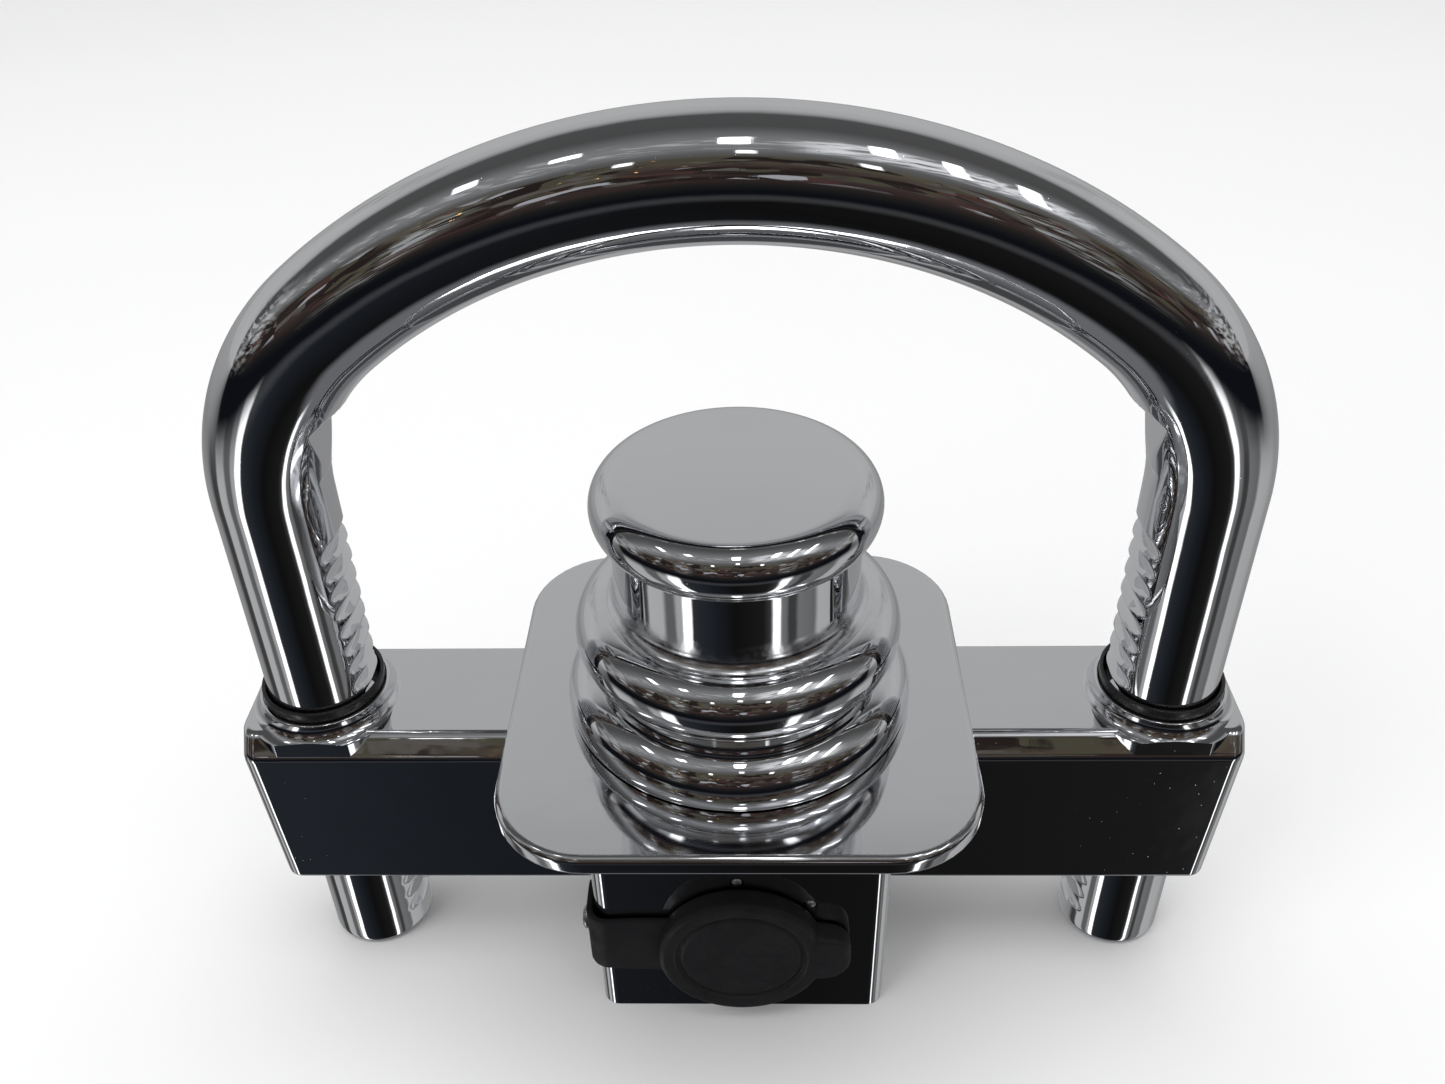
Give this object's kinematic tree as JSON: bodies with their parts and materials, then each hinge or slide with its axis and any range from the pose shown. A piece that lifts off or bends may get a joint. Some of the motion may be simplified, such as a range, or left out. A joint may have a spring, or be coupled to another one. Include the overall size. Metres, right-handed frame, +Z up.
{
  "type": "trailer coupler lock",
  "caption": "Chromed trailer coupler lock: a toothed U shackle slides in a cross bar below a stepped post on a square plate, with a key lock under a rubber dust cap.",
  "frame": {"origin": "on the flat bottom of the lock housing, on the resting plane, midway between the shackle legs and in their common plane", "axes": "+X to the viewer's right along the cross bar when facing the key lock, +Y away from the viewer towards the rear cover, +Z up along the shackle legs and the post"},
  "size_m": [0.175, 0.0778, 0.1645],
  "materials": {
    "chrome_casting": "mirror chrome with light casting ripple",
    "chrome_bar": "mirror chrome with fine handling scratches",
    "chrome_plate": "mirror chrome with fine pits",
    "chrome_post": "mirror chrome, satin at the foot of the neck",
    "chrome_cover": "bright chrome",
    "plated_steel": "zinc plated",
    "lock_brass": "machined",
    "black_seal_rubber": "semi-matte",
    "black_cap_rubber": "matte"
  },
  "bodies": {
    "lock_base": {"lock_body": "chrome_casting", "flange_plate": "chrome_plate", "coupler_post": "chrome_post", "post_bolt": "plated_steel", "post_washer": "plated_steel", "dowel_pin_left": "plated_steel", "dowel_pin_right": "plated_steel", "leg_seal_left": "black_seal_rubber", "leg_seal_right": "black_seal_rubber", "pawl_spring_left": "plated_steel", "pawl_spring_right": "plated_steel", "lock_cylinder": "lock_brass", "cylinder_clip": "plated_steel", "rear_cover": "chrome_cover", "cover_screw_1": "plated_steel", "cover_screw_2": "plated_steel", "cover_screw_3": "plated_steel", "cover_screw_4": "plated_steel", "cover_screw_5": "plated_steel", "cover_screw_6": "plated_steel", "cap_strap": "black_cap_rubber", "strap_rivet": "plated_steel", "face_pin_1": "plated_steel", "face_pin_2": "plated_steel"},
    "shackle_bar": {"shackle": "chrome_bar"},
    "key_group": {"key_plug": "lock_brass", "wafer_1": "lock_brass", "wafer_2": "lock_brass", "wafer_3": "lock_brass", "wafer_4": "lock_brass", "wafer_5": "lock_brass", "lock_cam": "plated_steel", "cam_screw": "plated_steel"},
    "left_pawl": {"pawl_left": "plated_steel"},
    "right_pawl": {"pawl_right": "plated_steel"},
    "cap_group": {"dust_cap": "black_cap_rubber"}
  },
  "joints": [
    {"name": "shackle_slide", "type": "slide", "parent": "lock_base", "child": "shackle_bar", "axis": [0, 0, 1], "range_m": [-0.03176, 0.06749]},
    {"name": "key_turn", "type": "hinge", "parent": "lock_base", "child": "key_group", "pos_m": [0, 0, 0.0197], "axis": [0, -1, 0], "range_deg": [0, 90]},
    {"name": "left_pawl_slide", "type": "slide", "parent": "lock_base", "child": "left_pawl", "axis": [-1, 0, 0], "range_m": [0, 0.00636], "deforming": ["pawl_spring_left"]},
    {"name": "right_pawl_slide", "type": "slide", "parent": "lock_base", "child": "right_pawl", "axis": [1, 0, 0], "range_m": [0, 0.0064], "deforming": ["pawl_spring_right"]},
    {"name": "dust_cap_swing", "type": "hinge", "parent": "lock_base", "child": "cap_group", "pos_m": [-0.0269, -0.0235, 0.0197], "axis": [0, 0, -1], "range_deg": [0, 100], "stiffness_Nm_per_rad": 0.01}
  ],
  "couplings": [
    {"joint": "key_turn", "follows": "left_pawl_slide", "rad_per_m": 246.8},
    {"joint": "right_pawl_slide", "follows": "left_pawl_slide", "ratio": 1}
  ]
}
